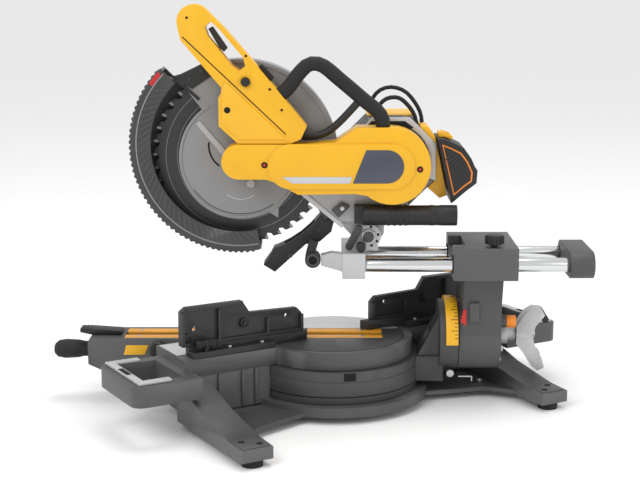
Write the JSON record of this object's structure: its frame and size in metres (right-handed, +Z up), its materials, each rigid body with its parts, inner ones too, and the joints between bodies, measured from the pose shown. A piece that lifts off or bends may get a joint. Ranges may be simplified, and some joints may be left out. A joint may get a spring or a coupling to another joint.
{
  "type": "sliding miter saw",
  "caption": "Cordless sliding compound miter saw: turntable and fences on a low base, tilting column, twin rails, and a hinged head with guarded blade, belt drive and battery.",
  "frame": {"origin": "on the miter axis at bench level, at the underside of the base's centre pad", "axes": "+X to the operator's right along the fences, +Y to the rear, +Z up"},
  "size_m": [0.7, 0.449, 0.566],
  "materials": {
    "cast_dark": "matte",
    "cast_grey": "matte",
    "cast_light": "satin",
    "guard_grey": "matte",
    "yellow_shell": "matte",
    "black_plastic": "matte",
    "orange_part": "matte",
    "steel_part": "brushed",
    "chrome_rail": "polished",
    "rubber_part": "matte"
  },
  "bodies": {
    "base": {"base_casting": "cast_dark", "foot_rear_right": "rubber_part", "foot_rear_left": "rubber_part", "loop_plate_right": "cast_light", "loop_plate_left": "cast_light", "miter_scale": "cast_light", "fixed_fence_right": "cast_dark", "fixed_fence_left": "cast_dark"},
    "fence_slider_right": {"sliding_fence_right": "cast_dark"},
    "fence_slider_left": {"sliding_fence_left": "cast_dark"},
    "fence_clamp_right": {"fence_knob_right": "black_plastic"},
    "fence_clamp_left": {"fence_knob_left": "black_plastic"},
    "table": {"turntable": "cast_grey", "kerf_plate_right": "orange_part", "kerf_plate_left": "orange_part", "miter_grip": "black_plastic", "bevel_scale": "yellow_shell", "bevel_shaft": "cast_light"},
    "detent_lever": {"miter_detent_lever": "black_plastic"},
    "miter_knob": {"miter_lock_knob": "black_plastic"},
    "column": {"column_casting": "cast_grey"},
    "bevel_lever": {"bevel_lock_lever": "cast_light"},
    "bevel_stop": {"bevel_stop_knob": "orange_part"},
    "rail_knob": {"rail_lock_knob": "black_plastic"},
    "carriage": {"rail_left": "chrome_rail", "rail_right": "chrome_rail", "front_block": "cast_light", "rail_end_cap": "cast_dark", "pivot_pin": "steel_part"},
    "lock_pin": {"lock_down_pin": "orange_part"},
    "depth_stop": {"trench_stop": "black_plastic"},
    "head": {"head_casting": "cast_grey", "upper_guard": "guard_grey", "front_shroud": "black_plastic", "belt_cover": "yellow_shell", "drive_belt": "rubber_part", "motor_housing": "cast_grey", "motor_end_cap": "yellow_shell", "motor_stator": "steel_part", "battery_mount": "yellow_shell", "grip_shell_right": "yellow_shell", "grip_shell_left": "yellow_shell", "carry_handle": "black_plastic", "wiring_conduit": "black_plastic", "motor_cable_front": "rubber_part", "motor_cable_rear": "rubber_part", "dust_chute": "black_plastic", "dust_duct": "black_plastic", "arbor_bearing": "steel_part"},
    "guard": {"lower_guard": "guard_grey"},
    "blade": {"saw_blade": "steel_part", "arbor_shaft": "steel_part", "arbor_bolt": "steel_part", "arbor_pulley": "steel_part"},
    "rotor": {"motor_rotor": "steel_part", "motor_pulley": "steel_part"},
    "trigger_body": {"trigger": "black_plastic"},
    "safety_button": {"lock_off_button": "black_plastic"},
    "battery": {"battery_pack": "black_plastic"},
    "battery_latch": {"battery_release": "yellow_shell"}
  },
  "joints": [
    {"name": "fence_slide_right", "type": "slide", "parent": "base", "child": "fence_slider_right", "axis": [1, 0, 0], "range_m": [0, 0.05]},
    {"name": "fence_slide_left", "type": "slide", "parent": "base", "child": "fence_slider_left", "axis": [-1, 0, 0], "range_m": [0, 0.05]},
    {"name": "fence_clamp_turn_right", "type": "hinge", "parent": "base", "child": "fence_clamp_right", "pos_m": [0.214, 0.0225, 0.11], "axis": [0, 0, 1], "range_deg": [-25, 25]},
    {"name": "fence_clamp_turn_left", "type": "hinge", "parent": "base", "child": "fence_clamp_left", "pos_m": [-0.214, 0.0225, 0.11], "axis": [0, 0, 1], "range_deg": [-25, 25]},
    {"name": "miter_swing", "type": "hinge", "parent": "base", "child": "table", "pos_m": [0, 0, 0.095], "axis": [0, 0, -1], "range_deg": [0, 110]},
    {"name": "detent_lift", "type": "hinge", "parent": "table", "child": "detent_lever", "pos_m": [0.26587, -0.1535, 0.098], "axis": [-0.5, -0.866, 0], "range_deg": [0, 8], "stiffness_Nm_per_rad": 0.5},
    {"name": "miter_lock_turn", "type": "hinge", "parent": "table", "child": "miter_knob", "pos_m": [0.23901, -0.08603, 0.082], "axis": [0.5, 0.866, 0], "range_deg": [0, 90]},
    {"name": "bevel_tilt", "type": "hinge", "parent": "table", "child": "column", "pos_m": [0, 0, 0.095], "axis": [0.866, -0.5, 0], "range_deg": [-47, 14]},
    {"name": "bevel_lock_turn", "type": "hinge", "parent": "table", "child": "bevel_lever", "pos_m": [0, 0, 0.095], "axis": [-0.866, 0.5, 0], "range_deg": [-20, 40]},
    {"name": "bevel_stop_pull", "type": "slide", "parent": "column", "child": "bevel_stop", "axis": [-0.866, 0.5, 0], "range_m": [0, 0.006]},
    {"name": "rail_lock_turn", "type": "hinge", "parent": "column", "child": "rail_knob", "pos_m": [-0.16812, 0.1548, 0.24], "axis": [0, 0, 1], "range_deg": [0, 270]},
    {"name": "rail_slide", "type": "slide", "parent": "column", "child": "carriage", "axis": [0.866, -0.5, 0], "range_m": [-0.12, 0.07]},
    {"name": "lock_pin_pull", "type": "slide", "parent": "carriage", "child": "lock_pin", "axis": [0.5, 0.866, 0], "range_m": [0, 0.012]},
    {"name": "depth_stop_swing", "type": "hinge", "parent": "carriage", "child": "depth_stop", "pos_m": [0.05048, 0.02744, 0.215], "axis": [-0.5, -0.866, 0], "range_deg": [-50, 15]},
    {"name": "head_chop", "type": "hinge", "parent": "carriage", "child": "head", "pos_m": [-0.04157, 0.024, 0.243], "axis": [0.5, 0.866, 0], "range_deg": [0, 39], "stiffness_Nm_per_rad": 4, "springref_deg": -28.65},
    {"name": "guard_swing", "type": "hinge", "parent": "head", "child": "guard", "pos_m": [0.11605, -0.067, 0.371], "axis": [-0.5, -0.866, 0], "range_deg": [0, 93.6]},
    {"name": "blade_spin", "type": "hinge", "parent": "head", "child": "blade", "pos_m": [0.11345, -0.0655, 0.353], "axis": [-0.5, -0.866, 0], "continuous": true},
    {"name": "rotor_spin", "type": "hinge", "parent": "head", "child": "rotor", "pos_m": [-0.06842, 0.0395, 0.347], "axis": [-0.5, -0.866, 0], "continuous": true},
    {"name": "trigger_pull", "type": "hinge", "parent": "head", "child": "trigger_body", "pos_m": [0.16999, -0.04156, 0.534], "axis": [-0.5, -0.866, 0], "range_deg": [0, 4], "stiffness_Nm_per_rad": 0.03},
    {"name": "safety_press", "type": "slide", "parent": "head", "child": "safety_button", "axis": [-0.5, -0.866, 0], "range_m": [0, 0.0035], "stiffness_N_per_m": 300},
    {"name": "battery_remove", "type": "slide", "parent": "head", "child": "battery", "axis": [0.1879, -0.1085, 0.9762], "range_m": [0, 0.11]},
    {"name": "battery_latch_press", "type": "slide", "parent": "battery", "child": "battery_latch", "axis": [0.866, -0.5, 0], "range_m": [0, 0.0025], "stiffness_N_per_m": 400}
  ],
  "couplings": [
    {"joint": "guard_swing", "follows": "head_chop", "ratio": 2.4},
    {"joint": "rotor_spin", "follows": "blade_spin", "ratio": 1.149}
  ]
}
